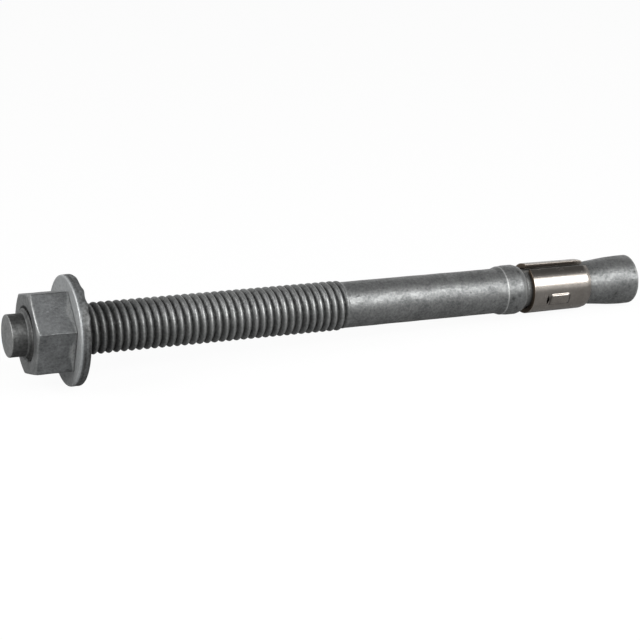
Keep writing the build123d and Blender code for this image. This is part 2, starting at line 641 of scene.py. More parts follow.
@dataclass(frozen=True)
class ZincFinish(Finish):
    """Hot-dip galvanised steel: mottled and satin, with dirt and painted shade, and painted highlights, a
    painted reflection and painted light, where the mesh has them.
    """

    # The dark that dirt and painted shade go towards; the zinc's specks use it too.
    grime_and_shade: Colour = (0.018, 0.018, 0.017)
    # The pale grey that painted highlights, painted reflections and painted light go towards.
    sheen_tone: Colour = (0.62, 0.63, 0.62)
    patch: float = ZincBloom.patch_scale
    crystal: float = ZincBloom.crystal_scale
    speck: float = ZincBloom.speck_scale
    grain: float = FineGrit.grain_scale
    pit: float = FineGrit.pit_scale
    depth: float = 0.00016
    grit_share: float = 0.12
    speck_share: float = 0.55
    grime_and_shade_spread: Span = (1.1, 0.75)
    sheen_spread: Span = (0.45, 1.0)
    grime_and_shade_dullness: float = 0.22

    def material(self) -> bpy.types.Material:
        """The node material: zinc tone between two greys, dirt and painted shade, then painted highlights
        and painted light over it, and a relief.

        Returns:
            The material.
        """
        material, shader = self.begin()
        wiring = Wiring.of(material.node_tree)
        zinc = self.place_group(wiring, Group.ZINC, Patch=self.patch, Crystal=self.crystal, Speck=self.speck)
        grit = self.place_group(wiring, Group.GRIT, Grain=self.grain, Pit=self.pit)
        tone, grime_and_shade, painted_sheen = zinc.outputs["Tone"], wiring.attribute(GRIME_AND_SHADE), wiring.attribute(PAINTED_SHEEN)
        coat = wiring.blend(tone, self.dark, self.light)
        specked = wiring.blend(wiring.multiply(zinc.outputs["Dark"], self.speck_share), coat, self.grime_and_shade)
        # Darkening by dirt and painted shade, uneven with the tone.
        uneven = wiring.multiply(grime_and_shade, wiring.remap(tone, self.grime_and_shade_spread))
        darkened = wiring.blend(uneven, specked, self.grime_and_shade)
        # Lightening by painted highlight, painted reflection and painted light.
        sheen_share = wiring.multiply(painted_sheen, wiring.remap(tone, self.sheen_spread))
        wiring.links.new(wiring.blend(sheen_share, darkened, self.sheen_tone), shader.inputs["Base Color"])
        gloss = wiring.remap(tone, self.roughness)
        dull = wiring.multiply(grime_and_shade, self.grime_and_shade_dullness)
        wiring.links.new(wiring.add(gloss, dull), shader.inputs["Roughness"])
        height = wiring.add(zinc.outputs["Height"], wiring.multiply(grit.outputs["Height"], self.grit_share))
        self.add_bump(wiring, height, self.depth, shader)
        return material


@dataclass(frozen=True)
class SheetFinish(Finish):
    """Bright rolled stainless sheet: faint clouds, small scuffs, straw-brown cut edges, and painted shade
    round the nibs and on the inner skin.
    """

    edge: Colour = (0.15, 0.115, 0.085)
    # The colour of the painted shade round the nibs and inside the sleeve.
    painted_shade: Colour = (0.03, 0.026, 0.023)
    cloud: float = 420.0
    streak: float = 2400.0
    scuff: float = 480.0
    grain: float = 1900.0
    pit: float = 520.0
    depth: float = 0.00003
    scuff_dullness: float = 0.2
    edge_dullness: float = 0.2

    def material(self) -> bpy.types.Material:
        """The node material: sheet colour, brown on the cut edges, painted shade, and scuffs in gloss and
        relief.

        Returns:
            The material.
        """
        material, shader = self.begin()
        wiring = Wiring.of(material.node_tree)
        grit = self.place_group(wiring, Group.GRIT, Grain=self.grain, Pit=self.pit)
        zinc = self.place_group(wiring, Group.ZINC, Patch=self.cloud, Crystal=self.streak, Speck=self.scuff)
        tone, cut, grime_and_shade = zinc.outputs["Tone"], wiring.attribute(CUT), wiring.attribute(GRIME_AND_SHADE)
        sheared = wiring.blend(cut, wiring.blend(tone, self.dark, self.light), self.edge)
        # Painted shade over the sheet.
        wiring.links.new(wiring.blend(grime_and_shade, sheared, self.painted_shade), shader.inputs["Base Color"])
        scuffed = wiring.multiply(zinc.outputs["Dark"], self.scuff_dullness)
        dull = wiring.add(wiring.remap(tone, self.roughness), scuffed)
        rough = wiring.add(dull, wiring.multiply(cut, self.edge_dullness))
        wiring.links.new(rough, shader.inputs["Roughness"])
        self.add_bump(wiring, grit.outputs["Height"], self.depth, shader)
        return material


STUD_ZINC = ZincFinish(
    name="stud_zinc",
    dark=(0.084, 0.087, 0.087),
    light=(0.215, 0.219, 0.217),
    metallic=0.75,
    roughness=(0.54, 0.37),
    bump=0.9,
)
NUT_ZINC = ZincFinish(
    name="nut_zinc",
    dark=(0.07, 0.073, 0.074),
    light=(0.2, 0.207, 0.21),
    metallic=0.72,
    roughness=(0.54, 0.36),
    bump=0.9,
)
WASHER_ZINC = ZincFinish(
    name="washer_zinc",
    dark=(0.21, 0.22, 0.226),
    light=(0.34, 0.353, 0.36),
    metallic=0.45,
    roughness=(0.5, 0.36),
    bump=0.8,
)
CLIP_SHEET = SheetFinish(
    name="clip_sheet",
    dark=(0.25, 0.23, 0.21),
    light=(0.36, 0.333, 0.306),
    metallic=1.0,
    roughness=(0.26, 0.2),
    bump=0.25,
)


# ---- Stud ------------------------------------------------------------------------------------
@dataclass(frozen=True)
class ThreadForm:
    """The screw thread that stud and nut share, right-handed, with wide round crests and narrow roots."""

    crest: float = 6.325
    root: float = 5.275
    pitch: float = 25.4 / 13
    first_crest: float = 1.327
    crest_power: float = 1.9

    def height(self, x: Array, angle: Array) -> Array:
        """Share of the thread's height at a place: 1 - |2d| ** power, d being pitches from the crest line.

        The crest line runs on by one pitch for each turn; a turn is counted from the back, through the top.

        Args:
            x: Place along the axis, in mm.
            angle: Angle round the axis, in degrees.

        Returns:
            The share, 0 in the roots and 1 on the crests.
        """
        turn = (180 - angle) / 360
        d = (x - self.first_crest) / self.pitch - turn
        d = d - np.round(d)
        return 1 - np.abs(2 * d) ** self.crest_power

    def radius(self, x: Array, angle: Array) -> Array:
        """Distance of the thread's surface from the axis."""
        return self.root + (self.crest - self.root) * self.height(x, angle)


THREAD = ThreadForm()


@dataclass(frozen=True)
class Pit:
    """A round pit in the coat: its place along the axis and round it, its size and its depth."""

    place: float
    turn: float
    size: float
    depth: float

    def share(self, x: Array, radius: Array, angle: Array) -> Array:
        """1 in the pit's middle, falling as exp(-(distance over the surface / size) squared)."""
        across = np.radians(angle_gap(angle, self.turn)) * radius
        return np.exp(-((x - self.place) ** 2 + across**2) / self.size**2)


@dataclass(frozen=True)
class SheenLine:
    """A painted highlight line that runs round the axis."""

    place: float
    width: float
    share: float

    def at(self, x: Array) -> Array:
        """The share of painted highlight, highest along the line."""
        return self.share * bell(x, self.place, self.width)


@dataclass
class Stud:
    """The one-piece stud: hammer end, rolled thread, shank, collar, neck and cone."""

    # The mesh, whose rows are close together from just before the thread to just past it.
    columns: int = 96
    widest_span: float = 0.45
    arc_steps: int = 6
    rows_per_pitch: int = 15
    close_before_thread: float = 0.2
    close_past_thread: float = 0.4
    least_span: float = 0.05

    # The form.
    start: float = -14.2
    end: float = 158.3
    hammer_radius: float = 5.175
    hammer_round: float = 0.3
    thread_start: float = -10.4
    thread_ramp: float = 0.7
    thread_rise: float = 0.5
    thread_runout: float = 1.5
    thread_end: float = 73.1
    shank_radius: float = 5.875
    ridge: float = 118.42
    collar_radius: float = 6.53
    neck_radius: float = 5.15
    cone_radius: float = 6.53
    coat: Waviness = Waviness(seed=3, height=0.05, longest=17.0)
    coat_lost_on_thread: float = 0.6
    pits: tuple[Pit, ...] = (
        Pit(119.7, -6.0, 0.62, 0.18),
        Pit(121.6, 1.0, 0.45, 0.15),
        Pit(119.2, -15.0, 0.42, 0.12),
        Pit(121.2, -30.0, 0.5, 0.1),
        Pit(122.6, 62.0, 0.5, 0.12),
        Pit(151.5, -18.0, 0.55, 0.12),
        Pit(155.3, -2.0, 0.45, 0.12),
        Pit(157.5, 33.0, 0.4, 0.1),
        Pit(157.7, 4.0, 0.45, 0.1),
    )

    # Oil and painted shade in the thread's roots, and more of both near the nut; dirt on the hammer end and
    # in pits; painted shade under the clip.
    root_oil_and_shade: float = 0.75
    root_power: float = 1.3
    near_nut_oil_and_shade: float = 0.55
    near_nut_span: Span = (3.0, 34.0)
    thick_oil_and_shade: float = 0.3
    thick_oil_and_shade_span: Span = (3.5, 8.0)
    most_thread_dark: float = 0.93
    hammer_dirt: float = 0.7
    hammer_dirt_span: Span = (-10.6, -10.2)
    face_clean: float = 0.1
    pit_dirt: float = 0.8
    clip_shade: float = 0.4
    clip_shade_start: Span = (125.5, 126.2)
    clip_shade_end: Span = (143.6, 145.0)
    most_dirt_and_shade: float = 0.95

    # Painted highlights: lines round the collar's ridge and shoulder and the cone's rim, and along the
    # crests; painted light on the hammer end's face, with a painted glint at its edge.
    sheen_lines: tuple[SheenLine, ...] = (
        SheenLine(ridge, 0.16, 0.75),
        SheenLine(124.2, 0.4, 0.3),
        SheenLine(end - 0.3, 0.25, 0.25),
    )
    face_line: SheenLine = SheenLine(start + 0.12, 0.1, 0.3)
    face_sheen: float = 0.26
    face_depth: float = 0.05
    crest_sheen: float = 0.3
    crest_sheen_power: int = 14
    crest_sheen_at_nut: float = 0.6
    crest_sheen_span: Span = (8, 40)

    def corners(self) -> Corners:
        """The plain profile from the hammer end's face to the cone's, as (x, radius, round).

        Returns:
            The corners, in order along the axis.
        """
        hammer_end = [
            (self.start, 0, 0),
            (self.start, self.hammer_radius, self.hammer_round),
            (self.thread_start, self.hammer_radius, self.hammer_round),
            (self.thread_start + self.thread_ramp, self.shank_radius, self.hammer_round),
        ]
        collar = [
            (116.9, self.shank_radius, 0.9),
            (118.15, 6.3, 0.2),
            (self.ridge, 6.39, 0.07),
            (118.66, 6.35, 0.1),
            (120.3, self.collar_radius, 1.4),
            (122.7, 6.525, 1.2),
            (124.0, 6.1, 0.6),
            (124.6, 5.45, 0.25),
        ]
        neck = [(124.72, self.neck_radius, 0.1), (143.75, self.neck_radius, 0.7)]
        cone = [
            (145.6, 5.775, 1.6),
            (151.7, 6.33, 6.0),
            (155.4, self.cone_radius, 2.0),
            (self.end, self.cone_radius, 0.4),
            (self.end, 0, 0),
        ]
        return hammer_end + collar + neck + cone

    def profile(self) -> Array:
        """Rows of x, radius from pole to pole, close enough along the thread to show its form.

        Returns:
            The rows, the first and the last on the axis.
        """
        rounded = rounded_profile(self.corners(), closed=False, steps=self.arc_steps)
        plain = refined(rounded, self.widest_span)
        low = self.thread_start - self.close_before_thread
        high = self.thread_end + self.close_past_thread
        x = np.arange(low, high, THREAD.pitch / self.rows_per_pitch)
        body = np.interp(x, plain[1:-1, 0], plain[1:-1, 1])
        before = plain[plain[:, 0] < low - self.least_span]
        after = plain[plain[:, 0] > high]
        return np.concatenate([before, np.stack([x, body], axis=1), after])

    def in_thread(self, x: Array) -> Array:
        """How far the thread is formed: it rises at its start and runs out into the shank."""
        rise = smooth_step(self.thread_start, self.thread_start + self.thread_rise, x)
        return rise * (1 - smooth_step(self.thread_end - self.thread_runout, self.thread_end, x))

    def surface(self, x: Array, radius: Array, angle: Array) -> Array:
        """The stud's radius at each place.

        It is the plain profile's, changed to the thread's where that is formed, plus a slow unevenness of
        the coat that fades towards the poles, less the pits.

        Args:
            x: Place along the axis.
            radius: The plain profile's radius there.
            angle: Angle round the axis, in degrees.

        Returns:
            The radius.
        """
        formed = self.in_thread(x)
        full = np.clip(radius / self.hammer_radius, 0, 1)
        made = radius + formed * (THREAD.radius(x, angle) - radius)
        made = made + full * self.coat.at(x, angle) * (1 - self.coat_lost_on_thread * formed)
        return made - sum(pit.depth * pit.share(x, radius, angle) for pit in self.pits)

    def grime_and_shade(self, x: Array, radius: Array, angle: Array) -> Array:
        """The share of dirt and painted shade at each place.

        Args:
            x: Place along the axis, in mm.
            radius: The plain profile's radius there, in mm.
            angle: Angle round the axis, in degrees.

        Returns:
            The share, from 0 to 1.
        """
        formed = self.in_thread(x)
        # Oil and painted shade in the roots, and more of both near the nut.
        root = (1 - THREAD.height(x, angle)) * formed
        near_nut = 1 - smooth_step(*self.near_nut_span, x)
        near_nut = near_nut + self.thick_oil_and_shade * (1 - smooth_step(*self.thick_oil_and_shade_span, x))
        thread = self.root_oil_and_shade * root**self.root_power + self.near_nut_oil_and_shade * near_nut * formed
        behind_face = x > self.start + self.face_clean
        hammer = self.hammer_dirt * (1 - smooth_step(*self.hammer_dirt_span, x)) * behind_face
        pitted = np.maximum.reduce([pit.share(x, radius, angle) for pit in self.pits])
        # Painted shade where the neck runs under the clip.
        tucked = smooth_step(*self.clip_shade_start, x) * (1 - smooth_step(*self.clip_shade_end, x))
        total = np.clip(thread, 0, self.most_thread_dark) + hammer
        return np.clip(total + self.pit_dirt * pitted + self.clip_shade * tucked, 0, self.most_dirt_and_shade)

    def painted_sheen(self, x: Array, radius: Array, angle: Array) -> Array:
        """The share of painted highlight and painted light at each place.

        Args:
            x: Place along the axis, in mm.
            radius: The plain profile's radius there, in mm.
            angle: Angle round the axis, in degrees.

        Returns:
            The share, from 0 to 1.
        """
        outer = radius > self.hammer_radius - self.hammer_round
        # Painted highlights round the collar and cone, and a painted glint on the hammer end's edge.
        share = sum(line.at(x) for line in self.sheen_lines) + self.face_line.at(x) * outer
        # Painted light on the hammer end's face.
        share = share + self.face_sheen * (x < self.start + self.face_depth)
        away = self.crest_sheen_at_nut + (1 - self.crest_sheen_at_nut) * smooth_step(*self.crest_sheen_span, x)
        # Painted highlight along the crests, weaker near the nut.
        crest = self.in_thread(x) * THREAD.height(x, angle) ** self.crest_sheen_power
        return np.clip(share + self.crest_sheen * crest * away, 0, 1)

    def build(self) -> bpy.types.Object:
        """The stud's mesh: rings along the profile and one point at each end.

        Returns:
            The stud's object.
        """
        rows = self.profile()
        angle = (np.arange(self.columns) * 360 / self.columns)[None, :]
        x, radius = rows[1:-1, 0][:, None], rows[1:-1, 1][:, None]
        points = round_axis(x, self.surface(x, radius, angle), angle)
        count = points.shape[0] * self.columns
        ends = np.array([[self.start, 0, 0], [self.end, 0, 0]])
        last = np.arange(count - self.columns, count)
        faces = np.concatenate([
            ring_faces(points.shape[0], self.columns, closed=False)[:, ::-1],
            pole_faces(count, np.arange(self.columns)),
            pole_faces(count + 1, last)[:, [1, 0, 2, 3]],
        ])
        points = np.concatenate([points.reshape(-1, 3), ends])
        # Dirt with painted shade, and painted highlight with painted light, at each point.
        shades = {
            GRIME_AND_SHADE: np.append(self.grime_and_shade(x, radius, angle), [0.0, 0.0]),
            PAINTED_SHEEN: np.append(self.painted_sheen(x, radius, angle), [self.face_sheen, 0.0]),
        }
        return new_piece("stud", points, faces, shades)


# ---- Nut -------------------------------------------------------------------------------------
@dataclass
class Nut:
    """Hex nut with trimmed outer corners, countersinks and an internal thread that fits the stud's."""

    # The mesh: rows from an end along the side, then rings in from the corners to the mouth.
    sector_columns: int = 36
    edge_rows: Rows = (0.0, 0.01, 0.03, 0.07, 0.12, 0.18, 0.25, 0.33, 0.42, 0.55, 0.75, 1.0, 1.3)
    side_start: float = 1.9
    side_rows: int = 8
    face_rings: Rows = (9.1, 8.6, 7.9, 7.3)
    mouth_rings: Rows = (0.12, 0.04)
    bore_rows: int = 74
    bore_start: float = 0.02

    # The form.
    sides: int = 6
    height: float = 9.6
    across_flats: float = 19.05
    corner_angle: float = 15.0
    corner_power: float = 150.0
    face_radius: float = 9.6
    chamfer: float = math.radians(20)
    ridge_round: float = 0.26
    edge_round: float = 0.36
    mouth_radius: float = 6.95
    thread_gap: float = 0.13
    bore_gap: float = 0.25
    side_coat: Waviness = Waviness(seed=11, height=0.05, longest=9.0)
    face_coat: Waviness = Waviness(seed=5, height=0.035, longest=14.0)
    face_coat_scale: float = 3.0
    face_coat_start: float = 7.2

    # Painted shade along the corners, which dims their highlight, and in the bore; stains on the flats.
    corner_shade: float = 0.4
    corner_shade_width: float = 1.6
    corner_shade_start: Span = (0.5, 1.0)
    stain_dirt: float = 0.4
    stain_gain: float = 9.0
    stains: Waviness = Waviness(seed=45, height=0.05, longest=5.0, waves=9)
    mouth_shade: float = 0.15
    bore_shade: float = 0.55
    bore_shade_start: float = 0.6

    # Painted highlight along the outer ridge, most at the upper front; a painted reflection of the washer on
    # the foot, which reaches furthest amid each flat; and painted light on the outer face.
    ridge_sheen: float = 0.95
    ridge_place: float = 0.2
    ridge_width: float = 0.22
    ridge_least: float = 0.3
    ridge_turn: float = 26.0
    ridge_reach: float = 30.0
    foot_reflection: float = 0.46
    foot_reach: float = 1.0
    foot_swing: float = 0.5
    foot_edge: Span = (-0.15, 0.1)
    sheen_mean: float = 0.8
    sheen_gain: float = 9.0
    sheen_patches: Waviness = Waviness(seed=41, height=0.05, longest=3.1, waves=9)
    face_sheen: float = 0.16
    most_sheen: float = 0.95

    @property
    def sector(self) -> float:
        """The angle from one corner to the next, in degrees."""
        return 360 / self.sides

    @property
    def corners(self) -> Array:
        """The angle of each corner, in degrees."""
        return self.corner_angle + self.sector * np.arange(self.sides)

    @property
    def middles(self) -> Array:
        """The angle amid each flat, in degrees."""
        return self.corners + self.sector / 2

    def angles(self) -> Array:
        """Column angles, crowded at the corners: each is its flat's middle plus half a sector times sin(u).

        Returns:
            The angles, in degrees.
        """
        u = np.linspace(-math.pi / 2, math.pi / 2, self.sector_columns, endpoint=False)
        swing = self.sector / 2 * np.sin(u)
        return (self.middles[:, None] + swing[None, :]).ravel()

    def flats(self, angle: Array) -> Array:
        """Radius of the hexagon: half its width over the power norm of the cosines to its six flats.

        Args:
            angle: Angle round the axis, in degrees.

        Returns:
            The radius, in mm.
        """
        turns = np.radians(angle[..., None] - self.middles)
        total = (np.clip(np.cos(turns), 0, 1) ** self.corner_power).sum(axis=-1)
        return self.across_flats / 2 / total ** (1 / self.corner_power)

    def outside(self, x: Array, angle: Array) -> Array:
        """The hexagon trimmed by the outer end's cone, with its end edges rounded as quarter circles.

        Args:
            x: Place along the axis, in mm.
            angle: Angle round the axis, in degrees.

        Returns:
            The radius, in mm.
        """
        cone = self.face_radius + (x + self.height) / math.tan(self.chamfer)
        flat = self.flats(angle) + self.side_coat.at(x, angle)
        trimmed = soft_least(np.broadcast_to(flat, np.broadcast(flat, cone).shape), cone, self.ridge_round)
        return trimmed - edge_drop(np.minimum(x + self.height, -x), self.edge_round)

    def bore(self, x: Array, angle: Array) -> Array:
        """The threaded bore, opened at both ends by countersinks of 45 degrees.

        Args:
            x: Place along the axis, in mm.
            angle: Angle round the axis, in degrees.

        Returns:
            The radius, in mm.
        """
        depth = np.minimum(-x, x + self.height)
        thread = THREAD.radius(x, angle) + self.thread_gap
        return np.maximum(thread, np.maximum(self.mouth_radius - depth, THREAD.root + self.bore_gap))

    def side_stains_and_shade(self, x: Array, angle: Array) -> Array:
        """The share outside of painted shade along the corners and of stains on the flats.

        Args:
            x: Place along the axis, in mm.
            angle: Angle round the axis, in degrees.

        Returns:
            The share, from 0 to 1.
        """
        corner = np.abs(angle_gap(angle[..., None], self.corners)).min(axis=-1)
        clear = smooth_step(*self.corner_shade_start, x + self.height)
        # Painted shade along the corners, dimming their highlight.
        along = self.corner_shade * bell(corner, 0, self.corner_shade_width) * clear
        stain = np.clip(self.stain_gain * self.stains.at(x, angle), 0, 1)
        return np.maximum(along, self.stain_dirt * stain)

    def bore_shading(self, x: Array, angle: Array) -> Array:
        """The share of painted shade in the bore, which grows down the countersinks.

        Args:
            x: Place along the axis, in mm.
            angle: Angle round the axis, in degrees.

        Returns:
            The share, from 0 to 1.
        """
        depth = np.broadcast_to(np.minimum(-x, x + self.height), np.broadcast(x, angle).shape)
        sink = self.mouth_radius - THREAD.root
        # Painted shade, darkest deep in the countersinks and the bore.
        return self.bore_shade * smooth_step(self.bore_shade_start, sink, depth) + self.mouth_shade

    def side_sheen(self, x: Array, angle: Array) -> Array:
        """Painted highlight along the outer ridge, and a painted reflection of the washer on a paler foot
        that reaches furthest amid each flat.

        Args:
            x: Place along the axis, in mm.
            angle: Angle round the axis, in degrees.

        Returns:
            The share, from 0 to 1.
        """
        # Painted highlight along the outer ridge, strongest at the upper front.
        ridge = bell(x + self.height, self.ridge_place, self.ridge_width)
        away = angle_gap(angle, self.corner_angle + self.ridge_turn) / self.ridge_reach
        upper = self.ridge_least + (1 - self.ridge_least) * np.exp(-(away**4))
        # Painted reflection of the washer on the foot of each flat.
        gap = angle_gap(self.sides * angle, self.sides * self.corner_angle)
        reach = self.foot_reach - self.foot_swing * np.cos(np.radians(gap))
        foot = smooth_step(self.foot_edge[0] - reach, self.foot_edge[1] - reach, x)
        patchy = self.sheen_mean + self.sheen_gain * self.sheen_patches.at(x, angle)
        total = (self.ridge_sheen * ridge * upper + self.foot_reflection * foot) * patchy
        return np.clip(total, 0, self.most_sheen)

    def build(self) -> bpy.types.Object:
        """The nut's mesh, a loop of rows: outside, bearing face, bore from mouth to mouth, outer face.

        Returns:
            The nut's object.
        """
        h, near = self.height, np.array(self.edge_rows)
        middle = np.linspace(self.side_start, h - self.side_start, self.side_rows)
        side = (np.concatenate([near, middle, (h - near)[::-1]]) - h)[:, None]
        deep = np.linspace(-self.bore_start, self.bore_start - h, self.bore_rows)[:, None]
        mouth = self.mouth_radius + np.array(self.mouth_rings)
        rings = np.append(self.face_rings, mouth)[:, None]
        x = np.concatenate([side, np.zeros_like(rings), deep, np.full_like(rings, -h)])
        angle = self.angles()[None, :]
        bored, wide = self.bore(deep, angle), rings * np.ones_like(angle)
        radius = np.concatenate([self.outside(side, angle), wide, bored, wide[::-1]])
        points = round_axis(x, radius, angle)
        uneven = self.face_coat.at(radius * self.face_coat_scale, angle)
        points[..., 0] += uneven * (radius > self.face_coat_start)
        clean = np.zeros_like(wide)
        # Stains and painted shade outside, painted shade in the bore.
        grime_and_shade = np.concatenate([self.side_stains_and_shade(side, angle), clean, self.bore_shading(deep, angle), clean])
        # Painted light on the outer face.
        sheen_tone = np.full_like(wide, self.face_sheen)
        painted_sheen = np.concatenate([self.side_sheen(side, angle), clean, np.zeros_like(bored), sheen_tone])
        faces = ring_faces(len(x), angle.size, closed=True)[:, ::-1]
        return new_piece("nut", points.reshape(-1, 3), faces, {GRIME_AND_SHADE: grime_and_shade, PAINTED_SHEEN: painted_sheen})


# ---- Washer ----------------------------------------------------------------------------------
@dataclass(frozen=True)
class Lump:
    """A lump of zinc on the rim: its angle, half width in degrees, height and place through the washer."""

    turn: float
    width: float
    height: float
    place: float
    length: float = 0.75

    def at(self, x: Array, angle: Array) -> Array:
        """Height of the lump, a bell both ways."""
        across = bell(angle_gap(angle, self.turn), 0, self.width)
        return self.height * across * bell(x, self.place, self.length)


@dataclass
class Washer:
    """Punched flat washer with a rolled rim towards the nut and lumps of zinc on its far rim."""

    # The form.
    columns: int = 168
    widest_span: float = 0.55
    arc_steps: int = 7
    radius: float = 13.5
    bore: float = 6.75
    thickness: float = 2.5
    rim_round: float = 0.5
    bore_rounds: Span = (0.35, 0.25)
    rim_coat: Waviness = Waviness(seed=21, height=0.09, longest=3.2, waves=9)
    face_coat: Waviness = Waviness(seed=23, height=0.05, longest=9.0, waves=9)
    seat_depth: float = 0.2
    rim_start: Span = (2.6, 0.1)
    foot_turn: float = -90.0
    foot_width: float = 14.0
    coat_room: float = 0.02
    lumps: tuple[Lump, ...] = (
        Lump(60.0, 4.8, 0.36, 2.2),
        Lump(43.5, 4.6, 0.34, 2.1),
        Lump(29.0, 4.8, 0.34, 2.1),
        Lump(10.0, 6.0, 0.14, 2.1),
        Lump(84.0, 6.0, 0.12, 2.3),
        Lump(-148.0, 6.0, 0.1, 2.2),
    )
    lump_push: float = 0.6
    lump_push_start: float = 1.0

    # Stains on the rim's outside, darker next to its lip, and painted shade in the bore.
    edge_start: Span = (0.3, 0.6)
    edge_end: float = 0.12
    edge_inside: Span = (0.8, 0.4)
    stain_mean: float = 0.9
    stain_gain: float = 6.0
    stains: Waviness = Waviness(seed=31, height=0.05, longest=2.2, waves=12)
    stain_span: Span = (0.68, 0.98)
    near_lip_dark: float = 0.3
    near_lip_span: Span = (0.7, 1.1)
    bore_shade: float = 0.5
    bore_shade_span: Span = (-0.1, 0.3)

    # Painted highlights on the lip of the rim, strongest at the top, and in bright patches on the rim;
    # painted light on the face towards the nut.
    lip_sheen: float = 0.5
    lip_place: float = 0.12
    lip_width: float = 0.1
    lip_inside: Span = (0.6, 0.3)
    lip_least: float = 0.25
    lip_turn: float = 40.0
    lip_reach: float = 38.0
    shine_sheen: float = 0.9
    shine_turn: float = 25.0
    shine_reach: float = 11.0
    shine_start: Span = (0.8, 1.2)
    shine_mean: float = 0.15
    shine_gain: float = 22.0
    shine_patches: Waviness = Waviness(seed=33, height=0.05, longest=1.5, waves=12)
    face_sheen: float = 0.2
    front_sheen: float = 0.3
    front_reach: float = 60.0
    face_gain: float = 3.0
    face_patches: Waviness = Waviness(seed=35, height=0.05, longest=3.0, waves=12)
    face_depth: Span = (0.02, 0.1)
    face_start: Span = (9.0, 9.8)
    most_sheen: float = 0.9

    def profile(self) -> Array:
        """Rows of x, radius round the washer's section, with its rims rounded.

        Returns:
            The rows, the last of which joins the first.
        """
        nut_bore, far_bore = self.bore_rounds
        corners = [
            (0, self.bore, nut_bore),
            (0, self.radius, self.rim_round),
            (self.thickness, self.radius, self.rim_round),
            (self.thickness, self.bore, far_bore),
        ]
        rows = rounded_profile(corners, closed=True, steps=self.arc_steps)
        return refined(rows, self.widest_span, closed=True)

    def surface(self, x: Array, radius: Array, angle: Array) -> tuple[Array, Array]:
        """The section with the coat's unevenness and the lumps; its rim stays true where the washer stands.

        Args:
            x: Place through the washer.
            radius: The plain section's radius.
            angle: Angle round the axis, in degrees.

        Returns:
            The moved x and the moved radius.
        """
        rim = smooth_step(self.radius - self.rim_start[0], self.radius - self.rim_start[1], radius)
        clear = 1 - bell(angle_gap(angle, self.foot_turn), 0, self.foot_width)
        grown = radius - self.coat_room * clear + rim * clear * self.rim_coat.at(x, angle)
        pushed = x + self.face_coat.at(radius, angle) * (x > self.seat_depth)
        lumps = rim * sum(lump.at(x, angle) for lump in self.lumps)
        return pushed + self.lump_push * lumps * (x > self.lump_push_start), grown + lumps

    def rim_outside(self, x: Array, radius: Array) -> Array:
        """1 on the rim's outside, past its lip and short of the far face.

        Args:
            x: Place through the washer, in mm.
            radius: The plain profile's radius there, in mm.

        Returns:
            The share, from 0 to 1.
        """
        after = smooth_step(*self.edge_start, x)
        before = 1 - smooth_step(self.thickness - self.edge_end, self.thickness, x)
        low, high = self.edge_inside
        return after * before * smooth_step(self.radius - low, self.radius - high, radius)

    def grime_and_shade(self, x: Array, radius: Array, angle: Array) -> Array:
        """The share of stains and painted shade at each place.

        Args:
            x: Place through the washer, in mm.
            radius: The plain profile's radius there, in mm.
            angle: Angle round the axis, in degrees.

        Returns:
            The share, from 0 to 1.
        """
        stain = self.stain_mean + self.stain_gain * self.stains.at(x, angle)
        # Darker next to the lip.
        stain = stain + self.near_lip_dark * (1 - smooth_step(*self.near_lip_span, x))
        # Painted shade in the bore.
        low, high = self.bore_shade_span
        inside = self.bore_shade * (1 - smooth_step(self.bore + low, self.bore + high, radius))
        return inside + self.rim_outside(x, radius) * np.clip(stain, *self.stain_span)

    def painted_sheen(self, x: Array, radius: Array, angle: Array) -> Array:
        """The share of painted highlight and painted light at each place.

        Args:
            x: Place through the washer, in mm.
            radius: The plain profile's radius there, in mm.
            angle: Angle round the axis, in degrees.

        Returns:
            The share, from 0 to 1.
        """
        low, high = self.lip_inside
        # Painted highlight on the lip, strongest near the top.
        upper = bell(angle_gap(angle, self.lip_turn), 0, self.lip_reach)
        lip = (self.lip_least + (1 - self.lip_least) * upper) * bell(x, self.lip_place, self.lip_width)
        lip = lip * smooth_step(self.radius - low, self.radius - high, radius)
        # Painted highlight in bright patches on the rim.
        shine = bell(angle_gap(angle, self.shine_turn), 0, self.shine_reach)
        shine = shine * self.rim_outside(x, radius) * smooth_step(*self.shine_start, x)
        patchy = np.clip(self.shine_mean + self.shine_gain * self.shine_patches.at(x, angle), 0, 1)
        # Painted light on the face towards the nut, most at the front.
        lit = self.face_sheen + self.front_sheen * bell(angle_gap(angle, 0), 0, self.front_reach)
        lit = lit + self.face_gain * self.face_patches.at(radius, angle)
        face = lit * (1 - smooth_step(*self.face_depth, x)) * smooth_step(*self.face_start, radius)
        return np.clip(face + self.lip_sheen * lip + self.shine_sheen * shine * patchy, 0, self.most_sheen)

    def build(self) -> bpy.types.Object:
        """The washer's mesh: the section, a closed profile, carried round the axis.

        Returns:
            The washer's object.
        """
        rows = self.profile()
        angle = (np.arange(self.columns) * 360 / self.columns)[None, :]
        x, radius = rows[:, 0][:, None], rows[:, 1][:, None]
        points = round_axis(*self.surface(x, radius, angle), angle)
        shades = {GRIME_AND_SHADE: self.grime_and_shade(x, radius, angle), PAINTED_SHEEN: self.painted_sheen(x, radius, angle)}
        faces = ring_faces(len(rows), self.columns, closed=True)
        return new_piece("washer", points.reshape(-1, 3), faces, shades)


